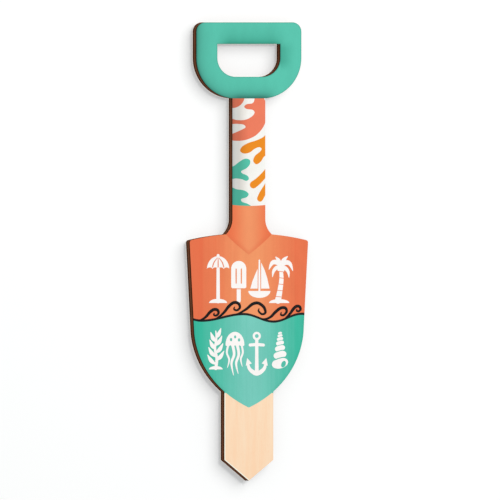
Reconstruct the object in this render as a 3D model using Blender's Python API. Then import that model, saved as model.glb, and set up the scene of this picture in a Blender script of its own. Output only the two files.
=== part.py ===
"""A shovel-shaped garden stake, cut from one veneered board and printed on its front face.

The board stands upright. X runs across it, Y runs through it with the printed face at -Y, and Z
runs up along it. The origin is at the tip of the printed blade, half way through the board: that is
the height of the soil once the bare stake below it has been pushed in. All sizes are in metres.

From the front the layers are the print, the front veneer, the core and the back veneer. The three
wood layers share one outline. The print is six fields of cured ink, each an object of its own, and
it stops at the lower edge of the blade, so that the stake stays bare wood.
"""

import math

import bmesh
import bpy
from mathutils import Vector
from mathutils.geometry import interpolate_bezier

# Layers, through Y.
BOARD_THICKNESS = 0.0095
VENEER_THICKNESS = 0.0006
PRINT_THICKNESS = 0.0001
CLEARANCE = 0.0003  # glue line between layers, and gap between neighbouring print fields

# Stake, below the origin.
STAKE_WIDTH = 0.0336
STAKE_LENGTH = 0.0486
STAKE_POINT_LENGTH = 0.0138

# Blade, from its tip at the origin up to the neck's foot.
BLADE_WIDTH = 0.0816
BLADE_LENGTH = 0.1152
BLADE_TIP_ANGLE = 25  # degrees above level, as the lower edge leaves the tip
BLADE_TIP_PULL = 0.0324  # how strongly the lower edge keeps the tip's direction
BLADE_WAIST_WIDTH = 0.0754  # where the curved lower edge meets the straight side
BLADE_WAIST_HEIGHT = 0.0511
BLADE_WAIST_PULL = 0.0135  # how strongly the lower edge keeps the side's direction
SHOULDER_DROP = 0.0041
SHOULDER_CROWN = 0.0005
SHOULDER_CORNER_RADIUS = 0.0018

# Neck and shaft.
NECK_WIDTH = 0.0316
NECK_FLARE_RADIUS = 0.0140
SHAFT_WIDTH = 0.0226
SHAFT_LENGTH = 0.0904  # from the neck's foot up to the handle

# Handle: a bar of even width round a D-shaped opening.
OPENING_WIDTH = 0.0434
OPENING_HEIGHT = 0.0218
OPENING_CORNER_RADIUS = 0.0125
HANDLE_BAR = 0.0144
HANDLE_TOP_RADIUS = 0.0062

# Borders between the print fields.
PATTERN_FOOT_HEIGHT = 0.0197  # above the neck's foot
PATTERN_FOOT_SAG = 0.0006
SOCKET_DEPTH = 0.0136  # of the socket's V, below the neck's foot
SOCKET_SIDE_ANGLE = 48  # degrees below level, where the V leaves the neck
SOCKET_TIP_ANGLE = 35  # degrees below level, where it reaches its tip
SOCKET_PULL = 0.0060
WATERLINE_WIDTH = 0.0015
WATERLINE_TURNS = [  # its crests and troughs in turn, from left to right
    (-0.0560, 0.0640),
    (-0.0325, 0.0578),
    (-0.0035, 0.0622),
    (0.0170, 0.0572),
    (0.0365, 0.0624),
    (0.0600, 0.0572),
]

CURVE_STEPS = 24
CUTTER_REACH = 0.0200  # how far a cutter runs past the board
EMPTY_SIZE = 0.0200

BLADE_TIP = (0, 0)
NECK_FOOT = (NECK_WIDTH / 2, BLADE_LENGTH)
BLADE_WAIST = (BLADE_WAIST_WIDTH / 2, BLADE_WAIST_HEIGHT)
BLADE_CORNER = (BLADE_WIDTH / 2, BLADE_LENGTH - SHOULDER_DROP)
HANDLE_FOOT = BLADE_LENGTH + SHAFT_LENGTH
HANDLE_TOP = HANDLE_FOOT + OPENING_HEIGHT + 2 * HANDLE_BAR
HANDLE_HALF_WIDTH = OPENING_WIDTH / 2 + HANDLE_BAR
SIDE_REACH = BLADE_WIDTH / 2 + CUTTER_REACH
SOCKET_GAP = CLEARANCE / math.cos(math.radians(SOCKET_SIDE_ANGLE))  # upwards, across the V's slope

# Depth of each layer's front face.
BOARD_FRONT = -BOARD_THICKNESS / 2
PRINT_FRONT = BOARD_FRONT - CLEARANCE - PRINT_THICKNESS
CORE_FRONT = BOARD_FRONT + VENEER_THICKNESS + CLEARANCE
CORE_THICKNESS = BOARD_THICKNESS - 2 * (VENEER_THICKNESS + CLEARANCE)
BACK_VENEER_FRONT = CORE_FRONT + CORE_THICKNESS + CLEARANCE


# Runs of points (x, z) -----------------------------------------------------------------------


def direction(degrees):
    """A unit step at an angle from +X towards +Z."""
    return Vector((math.cos(math.radians(degrees)), math.sin(math.radians(degrees))))


def arc(centre, radius, first, last, steps=CURVE_STEPS):
    """Points round a centre, from one angle to another in degrees."""
    angles = [first + (last - first) * step / steps for step in range(steps + 1)]
    return [tuple(Vector(centre) + direction(angle) * radius) for angle in angles]


def curve(start, start_handle, end_handle, end):
    """Points along a cubic Bezier curve."""
    knots = [Vector((*knot, 0)) for knot in (start, start_handle, end_handle, end)]
    return [(point.x, point.y) for point in interpolate_bezier(*knots, CURVE_STEPS + 1)]


def crowned(start, end, crown):
    """Points from start to end that rise by crown half way, to the right of the way they go."""
    start, across = Vector(start), Vector(end) - Vector(start)
    side = Vector((across.y, -across.x)).normalized()
    shares = [step / CURVE_STEPS for step in range(CURVE_STEPS + 1)]
    return [tuple(start + across * s + side * crown * 4 * s * (1 - s)) for s in shares]


def rounded(before, corner, after, radius):
    """The arc that rounds off the corner between two runs, which bends to the left."""
    incoming = (Vector(corner) - Vector(before)).normalized()
    outgoing = (Vector(after) - Vector(corner)).normalized()
    turn = incoming.angle(outgoing)
    inward = (outgoing - incoming).normalized()
    centre = Vector(corner) + inward * radius / math.cos(turn / 2)
    first = math.degrees(math.atan2(-incoming.x, incoming.y))
    return arc(centre, radius, first, first + math.degrees(turn), CURVE_STEPS // 3)


def split(points, x):
    """A run in two, at the first place where it crosses x on its way out."""
    for index in range(1, len(points)):
        (x0, z0), (x1, z1) = points[index - 1], points[index]
        if x0 < x <= x1:
            crossing = (x, z0 + (z1 - z0) * (x - x0) / (x1 - x0))
            return points[:index] + [crossing], [crossing] + points[index:]
    raise ValueError("the run never reaches that far out")


def mirrored(points):
    """The left twin of a run, in the opposite order, without the points on the centre line."""
    return [(-x, z) for x, z in reversed(points) if x > 0]


def shifted(points, rise):
    return [(x, z + rise) for x, z in points]


# Edges of the board, right half, from the bottom up ---------------------------------------------


def lower_blade_edge():
    """From the blade's tip, round to the waist where the straight side starts."""
    side = (Vector(BLADE_CORNER) - Vector(BLADE_WAIST)).normalized()
    tip_handle = Vector(BLADE_TIP) + direction(BLADE_TIP_ANGLE) * BLADE_TIP_PULL
    waist_handle = Vector(BLADE_WAIST) - side * BLADE_WAIST_PULL
    return curve(BLADE_TIP, tip_handle, waist_handle, BLADE_WAIST)


def shoulder():
    """The blade's rounded outer corner and the crowned edge from it to the neck's foot."""
    edge = crowned(BLADE_CORNER, NECK_FOOT, SHOULDER_CROWN)
    corner = rounded(BLADE_WAIST, edge[0], edge[1], SHOULDER_CORNER_RADIUS)
    return corner + [point for point in edge if point[0] < corner[-1][0]]


def neck_flare():
    """The hollow arc from the neck's foot up to the straight side of the shaft."""
    flare = (NECK_WIDTH - SHAFT_WIDTH) / 2
    sweep = math.degrees(math.acos(1 - flare / NECK_FLARE_RADIUS))
    rise = NECK_FLARE_RADIUS * math.sin(math.radians(sweep))
    centre = (SHAFT_WIDTH / 2 + NECK_FLARE_RADIUS, BLADE_LENGTH + rise)
    return arc(centre, NECK_FLARE_RADIUS, 180 + sweep, 180)


def handle_edge():
    """The handle's outer edge, from the middle of its foot to the middle of its top."""
    radius = OPENING_CORNER_RADIUS + HANDLE_BAR
    low_centre = (HANDLE_HALF_WIDTH - radius, HANDLE_FOOT + radius)
    top_centre = (HANDLE_HALF_WIDTH - HANDLE_TOP_RADIUS, HANDLE_TOP - HANDLE_TOP_RADIUS)
    low_corner = arc(low_centre, radius, -90, 0)
    top_corner = arc(top_centre, HANDLE_TOP_RADIUS, 0, 90, CURVE_STEPS // 2)
    return [(0, HANDLE_FOOT)] + low_corner + top_corner + [(0, HANDLE_TOP)]


def opening_edge():
    """The edge of the handle's opening, from the middle of its foot to the middle of its top."""
    foot = HANDLE_FOOT + HANDLE_BAR
    centre = (OPENING_WIDTH / 2 - OPENING_CORNER_RADIUS, foot + OPENING_CORNER_RADIUS)
    top_corner = (OPENING_WIDTH / 2, foot + OPENING_HEIGHT)
    return [(0, foot)] + arc(centre, OPENING_CORNER_RADIUS, -90, 0) + [top_corner]


def board_outline():
    """The whole board: stake, blade, neck, shaft and handle as one closed outline."""
    stake = [(0, -STAKE_LENGTH), (STAKE_WIDTH / 2, STAKE_POINT_LENGTH - STAKE_LENGTH)]
    _, blade = split(lower_blade_edge(), STAKE_WIDTH / 2)
    _, handle = split(handle_edge(), SHAFT_WIDTH / 2)
    right = stake + blade[:-1] + shoulder() + neck_flare()[1:] + handle
    return right + mirrored(right)


# Borders of the print fields ----------------------------------------------------------------


def pattern_foot():
    """The sagging border between the patterned shaft and the socket, from left to right."""
    height = BLADE_LENGTH + PATTERN_FOOT_HEIGHT
    left, right = (-SHAFT_WIDTH / 2, height), (SHAFT_WIDTH / 2, height)
    return [(-SIDE_REACH, height)] + crowned(left, right, PATTERN_FOOT_SAG) + [(SIDE_REACH, height)]


def socket_v():
    """The V where the socket ends on the blade, from its tip to the right of the neck's foot."""
    tip = Vector((0, BLADE_LENGTH - SOCKET_DEPTH))
    tip_handle = tip + direction(SOCKET_TIP_ANGLE) * SOCKET_PULL
    foot_handle = Vector(NECK_FOOT) - direction(SOCKET_SIDE_ANGLE) * SOCKET_PULL
    return curve(tip, tip_handle, foot_handle, NECK_FOOT)


def waterline():
    """The wavy line across the blade, from left to right, level where it turns."""
    points = [(-SIDE_REACH, WATERLINE_TURNS[0][1])]
    for (x0, z0), (x1, z1) in zip(WATERLINE_TURNS, WATERLINE_TURNS[1:]):
        for step in range(CURVE_STEPS):
            share = step / CURVE_STEPS
            ease = (1 - math.cos(math.pi * share)) / 2
            points.append((x0 + (x1 - x0) * share, z0 + (z1 - z0) * ease))
    return points + [WATERLINE_TURNS[-1], (SIDE_REACH, WATERLINE_TURNS[-1][1])]


def shaft_field():
    foot = shifted(pattern_foot(), CLEARANCE / 2)
    top = HANDLE_FOOT - CLEARANCE
    return foot + [(SIDE_REACH, top), (-SIDE_REACH, top)]


def socket_field():
    right = shifted(socket_v(), SOCKET_GAP / 2)
    top = [point for point in shifted(pattern_foot(), -CLEARANCE / 2) if abs(point[0]) < SIDE_REACH]
    neck_top = (NECK_WIDTH / 2, top[0][1])
    return right + [neck_top] + list(reversed(top)) + mirrored(right + [neck_top])


def sky_field():
    """The upper part of the blade, from the water line up to the V and the shoulders."""
    right = shifted(socket_v(), -SOCKET_GAP / 2) + [(SIDE_REACH, BLADE_LENGTH)]
    top = mirrored(right) + right
    foot = shifted(waterline(), WATERLINE_WIDTH / 2 + CLEARANCE)
    return foot + list(reversed(top))


def waterline_field():
    low = shifted(waterline(), -WATERLINE_WIDTH / 2)
    high = shifted(waterline(), WATERLINE_WIDTH / 2)
    return low + list(reversed(high))


def sea_field():
    """The lower part of the blade, from its tip up to the water line."""
    inner, _ = split(lower_blade_edge(), STAKE_WIDTH / 2)
    right = inner + [(SIDE_REACH, inner[-1][1])]
    top = shifted(waterline(), -WATERLINE_WIDTH / 2 - CLEARANCE)
    return right + list(reversed(top)) + mirrored(right)


# Solids ---------------------------------------------------------------------------------------


def clear_scene():
    for obj in list(bpy.data.objects):
        bpy.data.objects.remove(obj)


def plate(name, outline, front, thickness):
    """An upright plate of a closed outline, with its front face at the depth front."""
    shape = bmesh.new()
    face = shape.faces.new([shape.verts.new((x, 0, z)) for x, z in outline])
    pushed = bmesh.ops.extrude_face_region(shape, geom=[face])["geom"]
    corners = [item for item in pushed if isinstance(item, bmesh.types.BMVert)]
    bmesh.ops.translate(shape, verts=corners, vec=(0, thickness, 0))
    bmesh.ops.recalc_face_normals(shape, faces=shape.faces)
    mesh = bpy.data.meshes.new(name)
    shape.to_mesh(mesh)
    shape.free()
    obj = bpy.data.objects.new(name, mesh)
    obj.location = (0, front, 0)
    bpy.context.scene.collection.objects.link(obj)
    return obj


def cutter(name, outline):
    """A helper solid of that outline, which runs through the whole board and past it."""
    obj = plate(name, outline, -CUTTER_REACH, 2 * CUTTER_REACH)
    obj.hide_render = True
    obj.display_type = "WIRE"
    return obj


def boolean(obj, operation, other):
    modifier = obj.modifiers.new(other.name, "BOOLEAN")
    modifier.operation = operation
    modifier.solver = "EXACT"
    modifier.object = other
    return obj


def linear(channel):
    """A channel of a screen colour, 0 to 255, as the linear value that a shader takes."""
    share = channel / 255
    return share / 12.92 if share <= 0.04045 else ((share + 0.055) / 1.055) ** 2.4


def finish(name, colour, roughness):
    material = bpy.data.materials.new(name)
    material.use_nodes = True
    shader = material.node_tree.nodes["Principled BSDF"]
    shader.inputs["Base Color"].default_value = (*map(linear, colour), 1)
    shader.inputs["Roughness"].default_value = roughness
    shader.inputs["Metallic"].default_value = 0
    return material


def make_wood(opening):
    """The core and its two veneers, all cut through by the handle's opening."""
    veneer = finish("maple_veneer", (252, 218, 183), 0.55)
    core = finish("charred_core", (88, 54, 37), 0.80)
    layers = [
        ("front_veneer", BOARD_FRONT, VENEER_THICKNESS, veneer),
        ("core_board", CORE_FRONT, CORE_THICKNESS, core),
        ("back_veneer", BACK_VENEER_FRONT, VENEER_THICKNESS, veneer),
    ]
    made = []
    for name, front, thickness, material in layers:
        layer = boolean(plate(name, board_outline(), front, thickness), "DIFFERENCE", opening)
        layer.data.materials.append(material)
        made.append(layer)
    return made


def make_prints(opening):
    """The handle's ring of ink, then the fields that are cut out of the board's outline."""
    right = handle_edge()
    ring = plate("handle_print", right + mirrored(right), PRINT_FRONT, PRINT_THICKNESS)
    boolean(ring, "DIFFERENCE", opening)
    ring.data.materials.append(finish("teal_handle_ink", (91, 193, 171), 0.40))
    made = [ring]
    fields = [
        ("shaft_print", shaft_field(), (247, 246, 242)),
        ("socket_print", socket_field(), (241, 143, 97)),
        ("sky_print", sky_field(), (237, 124, 82)),
        ("waterline_print", waterline_field(), (32, 30, 31)),
        ("sea_print", sea_field(), (88, 193, 168)),
    ]
    for name, border, colour in fields:
        field = plate(name, board_outline(), PRINT_FRONT, PRINT_THICKNESS)
        boolean(field, "INTERSECT", cutter(name + "_border", border))
        field.data.materials.append(finish(name + "_ink", colour, 0.40))
        made.append(field)
    return made


def main():
    clear_scene()
    soil_line = bpy.data.objects.new("soil_line", None)
    soil_line.empty_display_size = EMPTY_SIZE
    bpy.context.scene.collection.objects.link(soil_line)
    right = opening_edge()
    opening = cutter("handle_opening", right + mirrored(right))
    for piece in make_wood(opening) + make_prints(opening):
        piece.parent = soil_line


main()
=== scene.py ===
# %% [markdown]
# # A printed garden stake in the shape of a toy spade
#
# The real object is one flat board: a dark fibreboard core with a pale maple veneer glued to each
# face, printed on the front with cured ink, then cut out by a laser that chars the edge.
# This lesson dresses the frame of that board, layer by layer, from the core outwards.
# Every solid of the frame is replaced by a finer piece, because the frame keeps small gaps
# between its layers that a real glued and printed board doesn't have.
#
# The board stands upright: X runs across it, Z up along it, and its printed face looks along -Y.
# The origin is at the tip of the printed blade. Lengths are in metres, and drawings in millimetres.

import math

import bmesh
import bpy
import numpy as np
from mathutils import Matrix, Vector
from mathutils.geometry import delaunay_2d_cdt


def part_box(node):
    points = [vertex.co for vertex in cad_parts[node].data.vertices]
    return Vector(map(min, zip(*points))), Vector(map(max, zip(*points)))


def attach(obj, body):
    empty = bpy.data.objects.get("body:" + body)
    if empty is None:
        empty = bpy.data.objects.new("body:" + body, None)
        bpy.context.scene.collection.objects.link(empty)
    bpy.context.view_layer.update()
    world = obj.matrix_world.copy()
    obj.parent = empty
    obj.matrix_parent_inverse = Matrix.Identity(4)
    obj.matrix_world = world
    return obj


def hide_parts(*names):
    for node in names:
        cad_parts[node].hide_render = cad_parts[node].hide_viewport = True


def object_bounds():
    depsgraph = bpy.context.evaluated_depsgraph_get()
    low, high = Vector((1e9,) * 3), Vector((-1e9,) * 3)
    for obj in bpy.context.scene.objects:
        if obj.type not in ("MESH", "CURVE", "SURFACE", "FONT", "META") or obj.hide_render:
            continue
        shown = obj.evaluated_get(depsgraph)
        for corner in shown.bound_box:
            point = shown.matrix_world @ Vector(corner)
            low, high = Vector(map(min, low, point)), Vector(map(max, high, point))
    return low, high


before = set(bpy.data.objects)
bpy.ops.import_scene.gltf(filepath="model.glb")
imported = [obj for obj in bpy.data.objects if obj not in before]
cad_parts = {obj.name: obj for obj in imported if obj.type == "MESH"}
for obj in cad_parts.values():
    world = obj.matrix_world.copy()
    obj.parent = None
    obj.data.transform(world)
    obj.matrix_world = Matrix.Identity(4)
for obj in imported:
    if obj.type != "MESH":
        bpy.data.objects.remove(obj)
cad_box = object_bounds()
board_centre = (cad_box[0] + cad_box[1]) / 2
MM = 0.001
print("board", [round(side / MM, 1) for side in cad_box[1] - cad_box[0]], "mm")

# %% [markdown]
# ## The camera
#
# A flat sign is best pictured from a little to one side, so that its outline stays true while the
# cut edge still shows. Here the camera turns 15 degrees to the left, which shows the left edge as
# a dark band. Perspective would slant the handle's level edges, so the camera is orthographic:
# its scale is the width of what it sees, in metres.

# %% The camera
VIEW_WIDTH = 0.3325
CAMERA_DISTANCE = 1.2
CAMERA_TURN = math.radians(-15)
AIM_SHIFT = Vector((0.0020, 0, 0.0010))

aim = board_centre + AIM_SHIFT
sight = Vector((math.sin(CAMERA_TURN), -math.cos(CAMERA_TURN), 0))
camera = bpy.data.objects.new("camera", bpy.data.cameras.new("camera"))
camera.data.type = "ORTHO"
camera.data.ortho_scale = VIEW_WIDTH
camera.location = aim + sight * CAMERA_DISTANCE
camera.rotation_euler = (-sight).to_track_quat("-Z", "Y").to_euler()
bpy.context.scene.collection.objects.link(camera)
bpy.context.scene.camera = camera
bpy.context.scene.view_settings.view_transform = "Standard"
print("camera at", [round(place, 3) for place in camera.location])

# %% [markdown]
# ## The depths of the layers
#
# All layers lie flat on each other, so each one is told by the depth of its two faces. The veneers
# are where the frame has them. The core fills the room between them without a gap. The ink is
# a few hundredths of a millimetre thick, and each colour that is printed over another lies higher.

# %% The depths of the layers
veneer_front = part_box("front_veneer")[0].y
core_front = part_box("front_veneer")[1].y
core_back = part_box("back_veneer")[0].y
veneer_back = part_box("back_veneer")[1].y
INK = 0.04 * MM

ground_front = veneer_front - INK
field_front = veneer_front - 3 * INK
leaf_front = ground_front - INK
print("core from", round(core_front / MM, 2), "to", round(core_back / MM, 2), "mm")

# %% [markdown]
# ## Reading the outlines
#
# The frame already holds every outline: the board, its opening and the borders of the print. They
# could be drawn again, but then they would no longer follow the frame. So a copy of each solid's
# mesh is merged, and the edges round its front face are walked from point to point. Walking with
# the face on the left gives outer edges that run anticlockwise and holes that run clockwise.

# %% Reading the outlines
WELD = 2e-6


def outlines(node):
    """The closed loops of points (x, z) round a frame solid's front face, the longest first."""
    shape = bmesh.new()
    shape.from_mesh(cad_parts[node].data)
    bmesh.ops.remove_doubles(shape, verts=shape.verts, dist=WELD)
    front = min(vert.co.y for vert in shape.verts)
    # A dictionary keeps the faces in order, so every run starts each loop at the same point.
    level = [face for face in shape.faces if all(v.co.y - front < WELD for v in face.verts)]
    flat_faces = dict.fromkeys(level)
    following = {}
    for face in flat_faces:
        for corner in face.loops:
            if corner.link_loop_radial_next.face not in flat_faces:
                following[corner.vert] = corner.link_loop_next.vert
    found = []
    while following:
        vert = next(iter(following))
        loop = []
        while vert in following:
            loop.append(Vector((vert.co.x, vert.co.z)))
            vert = following.pop(vert)
        found.append(loop)
    shape.free()
    return sorted(found, key=lambda loop: -loop_length(loop))


def loop_length(loop):
    return sum((end - start).length for start, end in zip(loop, loop[1:] + loop[:1]))


board_edge, opening_edge = outlines("front_veneer")
print("board edge", round(loop_length(board_edge) / MM), "mm,", len(board_edge), "points")
print("opening edge", round(loop_length(opening_edge) / MM), "mm,", len(opening_edge), "points")

# %% [markdown]
# ## Flat shapes, cut like paper
#
# Every layer is a flat shape with a thickness. Boolean modifiers could cut them, but on films this
# thin they are slow and easily fail. A constrained triangulation is safer: it lays any number of
# closed loops on one plane, splits the plane into triangles along all of them, and says for each
# triangle which loops lie round it. Keeping the right triangles unites, cuts or clips the loops.

# %% Flat shapes
CDT_REACH = 1e-6
INSIDE_TRIANGLES = 1


def signed_area(loop):
    """An area that is positive when the loop runs anticlockwise."""
    return sum(a[0] * b[1] - b[0] * a[1] for a, b in zip(loop, loop[1:] + loop[:1])) / 2


def flat_shape(named_loops, keep, extra=()):
    """Points and triangles of the plane wherever keep(names of the loops round it) is true."""
    points, rings = [], []
    for _, loop in named_loops:
        ring = loop if signed_area(loop) > 0 else loop[::-1]
        rings.append(range(len(points), len(points) + len(ring)))
        points += [Vector(point) for point in ring]
    points += [Vector(point) for point in extra]
    made = delaunay_2d_cdt(points, [], [list(ring) for ring in rings], INSIDE_TRIANGLES, CDT_REACH)
    corners, triangles, origins = made[0], made[2], made[5]
    names = [name for name, _ in named_loops]
    kept = [t for t, origin in zip(triangles, origins) if keep({names[i] for i in origin})]
    used = sorted({corner for triangle in kept for corner in triangle})
    place = {corner: index for index, corner in enumerate(used)}
    return [corners[corner] for corner in used], [[place[c] for c in t] for t in kept]


def film(name, shape, front, back, face_material, side_material=None):
    """A closed layer of a flat shape between two depths. Its cut sides may have their own finish."""
    points, triangles = shape
    count = len(points)
    verts = [(p.x, depth, p.y) for depth in (front, back) for p in points]
    faces = triangles + [[corner + count for corner in reversed(t)] for t in triangles]
    sides = {(t[i - 1], t[i]) for t in triangles for i in range(3)}
    walls = [(a, a + count, b + count, b) for a, b in sorted(sides) if (b, a) not in sides]
    mesh = bpy.data.meshes.new(name)
    mesh.from_pydata(verts, [], faces + walls)
    mesh.materials.append(face_material)
    if side_material:
        mesh.materials.append(side_material)
        for face in mesh.polygons[len(faces):]:
            face.material_index = 1
    mesh.validate()
    obj = bpy.data.objects.new(name, mesh)
    bpy.context.scene.collection.objects.link(obj)
    print(name, len(mesh.polygons), "faces")
    return obj


# %% [markdown]
# ## A soft rim
#
# Two finishes change close to an edge: bare veneer is toasted by the laser, and some of the ink is
# printed darker towards its border. A material can't measure how far it is from an outline, so the
# mesh tells it. A row of loose points is laid just inside the edge, and an attribute named rim is 1
# on the edge and 0 on that row. Points that would come too near another stretch are left out.

# %% A soft rim
RIM_STEP = 0.8 * MM
RIM_TOLERANCE = 0.97


def stepped(loop, spacing):
    """The same loop with points no further apart than spacing."""
    found = []
    for start, end in zip(loop, loop[1:] + loop[:1]):
        count = max(1, math.ceil((end - start).length / spacing))
        found += [start.lerp(end, index / count) for index in range(count)]
    return found


def inner_row(loops, width):
    """Loose points at one distance inside loops that keep the material on their left."""
    dense = [stepped(loop, RIM_STEP) for loop in loops]
    row = []
    for loop in dense:
        for before, point, after in zip(loop[-1:] + loop[:-1], loop, loop[1:] + loop[:1]):
            along = (after - before).normalized()
            row.append(point + Vector((-along.y, along.x)) * width)
    edge = np.array([tuple(point) for loop in dense for point in loop])
    inner = np.array([tuple(point) for point in row])
    gap = np.sqrt(((inner[:, None] - edge[None]) ** 2).sum(2)).min(1)
    return dense, [Vector(point) for point in inner[gap > width * RIM_TOLERANCE]]


def square_of(x, z, size):
    """The square that a place lies in, on paper ruled at one spacing."""
    return round(x / size), round(z / size)


def mark_rim(obj, row):
    """Gives every point of a layer its rim value: 0 on the inner row, 1 elsewhere."""
    inner = {square_of(p.x, p.y, WELD) for p in row}
    near = {(x + i, z + j) for x, z in inner for i in (-1, 0, 1) for j in (-1, 0, 1)}
    rim = obj.data.attributes.new("rim", "FLOAT", "POINT")
    for vert, item in zip(obj.data.vertices, rim.data):
        item.value = square_of(vert.co.x, vert.co.z, WELD) not in near


# %% [markdown]
# ## Nodes written as a recipe
#
# A node material is easier to read as a recipe than as a web of boxes. put() adds one node, sets
# its options and joins or fills its inputs, and maths() adds one step of arithmetic. The geometry
# trees further on are written with the same two tools.

# %% Nodes written as a recipe
def put(tree, kind, inputs=None, **settings):
    """Adds a node. An input is joined to a socket or set to a value, by its name or number."""
    node = tree.nodes.new(kind)
    for name, value in settings.items():
        setattr(node, name, value)
    for name, value in (inputs or {}).items():
        if isinstance(value, bpy.types.NodeSocket):
            tree.links.new(value, node.inputs[name])
        else:
            node.inputs[name].default_value = value
    return node


def maths(tree, operation, first, second=0.0, clamp=False):
    """Adds one step of arithmetic, and returns its result."""
    values = {0: first, 1: second}
    return put(tree, "ShaderNodeMath", values, operation=operation, use_clamp=clamp).outputs[0]


# %% [markdown]
# ## Places, noise and colour
#
# Every finish here depends on where a point lies on the board. Object coordinates give that place
# in metres, so a pattern keeps its real size, and noise is asked for by the size of its spots along
# each axis. ramp() turns a value into a soft mask, and blend() mixes two colours by such a mask.
# tint() lets an ink be named by the colour that it shows on a screen.

# %% Places, noise and colour
def place_on_board(tree):
    """The board's own x, y and z, in metres."""
    here = put(tree, "ShaderNodeTexCoord").outputs["Object"]
    return put(tree, "ShaderNodeSeparateXYZ", {0: here}).outputs


def stretched_noise(tree, sizes, detail, roughness=0.5):
    """Noise whose spots have the given size along x, y and z."""
    here = put(tree, "ShaderNodeTexCoord").outputs["Object"]
    scaled = [1 / size if isinstance(size, float) else maths(tree, "DIVIDE", 1, size) for size in sizes]
    scale = put(tree, "ShaderNodeCombineXYZ", {index: value for index, value in enumerate(scaled)})
    spots = put(tree, "ShaderNodeVectorMath", {0: here, 1: scale.outputs[0]}, operation="MULTIPLY")
    settings = {"Vector": spots.outputs[0], "Scale": 1.0, "Detail": detail, "Roughness": roughness}
    return put(tree, "ShaderNodeTexNoise", settings).outputs[0]


def ramp(tree, value, low, high):
    """0 at low and 1 at high, with a soft start and end."""
    settings = {"Value": value, "From Min": low, "From Max": high}
    return put(tree, "ShaderNodeMapRange", settings, interpolation_type="SMOOTHSTEP").outputs[0]


def blend(tree, share, first, second, kind="MIX"):
    """A mix of two colours, each a socket or three channels."""
    node = put(tree, "ShaderNodeMix", data_type="RGBA", blend_type=kind)
    for socket, value in zip((node.inputs[0], node.inputs[6], node.inputs[7]), (share, first, second)):
        if isinstance(value, bpy.types.NodeSocket):
            tree.links.new(value, socket)
        else:
            socket.default_value = value if isinstance(value, float) else (*value, 1)
    return node.outputs[2]


def tint(red, green, blue):
    """A screen colour, 0 to 255 a channel, as the linear values that a shader takes."""
    shares = (red / 255, green / 255, blue / 255)
    return tuple(s / 12.92 if s <= 0.04045 else ((s + 0.055) / 1.055) ** 2.4 for s in shares)


# %% [markdown]
# ## Groups and shaders
#
# An effect that several materials share becomes a group: a small machine with named inputs that
# hands back only values. The shader stays in each material, and whatever is the same all over the
# surface, such as its roughness, is set straight on the shader.

# %% Groups and shaders
def new_group(name, inputs, outputs):
    """An empty shader group with named value inputs, {name: default}, and value outputs."""
    tree = bpy.data.node_groups.new(name, "ShaderNodeTree")
    for label, default in inputs.items():
        socket = tree.interface.new_socket(label, in_out="INPUT", socket_type="NodeSocketFloat")
        socket.default_value = default
    for label in outputs:
        tree.interface.new_socket(label, in_out="OUTPUT", socket_type="NodeSocketFloat")
    return tree, tree.nodes.new("NodeGroupInput").outputs


def hand_out(tree, **values):
    """Joins a group's results to its outputs, by name."""
    end = tree.nodes.new("NodeGroupOutput")
    for name, value in values.items():
        tree.links.new(value, end.inputs[name])


def use(tree, group, values=None):
    """Places a group with its own values, and returns its results."""
    node = put(tree, "ShaderNodeGroup", node_tree=group)
    for name, value in (values or {}).items():
        node.inputs[name].default_value = value
    return node.outputs


def new_material(name, roughness, specular):
    """A material with its shader, and the tree that its recipe is written in."""
    material = bpy.data.materials.new(name)
    material.use_nodes = True
    shader = material.node_tree.nodes["Principled BSDF"]
    shader.inputs["Roughness"].default_value = roughness
    shader.inputs["Specular IOR Level"].default_value = specular
    return material, material.node_tree, shader


def bump(tree, shader, height, distance, strength=1.0):
    """Turns a height from 0 to 1 into relief that is distance deep."""
    settings = {"Height": height, "Distance": distance, "Strength": strength}
    tree.links.new(put(tree, "ShaderNodeBump", settings).outputs[0], shader.inputs["Normal"])


# %% [markdown]
# ## Wood grain
#
# Sliced maple veneer is pale and quiet: long soft bands, fine fibres and a scatter of short dark
# pores, all running up the board. A wood image would repeat and blur up close, and a wave texture
# looks like a floor plank. Three noises that are stretched along Z give the same thing at any
# distance. The group hands back a tone for the colour and a height for the bump.

# %% Wood grain
wood_grain, given = new_group(
    "wood_grain", {"Fibre Width": 0.0005, "Fibre Length": 0.0140, "Pore Depth": 0.5}, ["Tone", "Height"]
)
width, length = given["Fibre Width"], given["Fibre Length"]
fibres = stretched_noise(wood_grain, (width, width, length), 4.0, 0.6)
band_width = maths(wood_grain, "MULTIPLY", width, 11)
band_length = maths(wood_grain, "MULTIPLY", length, 7)
bands = stretched_noise(wood_grain, (band_width, band_width, band_length), 2.0)
pores = ramp(wood_grain, stretched_noise(wood_grain, (0.00022, 0.00022, 0.0021), 1.0), 0.60, 0.72)
pitted = maths(wood_grain, "MULTIPLY", pores, given["Pore Depth"])
fine = maths(wood_grain, "MULTIPLY", fibres, 0.35)
broad = maths(wood_grain, "MULTIPLY", bands, 0.65)
soft = maths(wood_grain, "ADD", fine, broad)
hand_out(
    wood_grain,
    Tone=maths(wood_grain, "SUBTRACT", soft, maths(wood_grain, "MULTIPLY", pitted, 0.25), clamp=True),
    Height=maths(wood_grain, "SUBTRACT", maths(wood_grain, "MULTIPLY", fibres, 0.4), pitted),
)
print("wood grain:", len(wood_grain.nodes), "nodes")

# %% [markdown]
# ## The charred cut
#
# A laser leaves a row of fine lines straight through the board, one for each pulse, and chars the
# fibreboard dark brown. The scorch isn't even: it varies over a centimetre or so along the cut. The
# lines run through Y on every stretch of the outline, so noise that hardly changes along Y makes
# them without any unwrapping. Soot darkens the brown towards both faces, where the glue burns.

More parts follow.
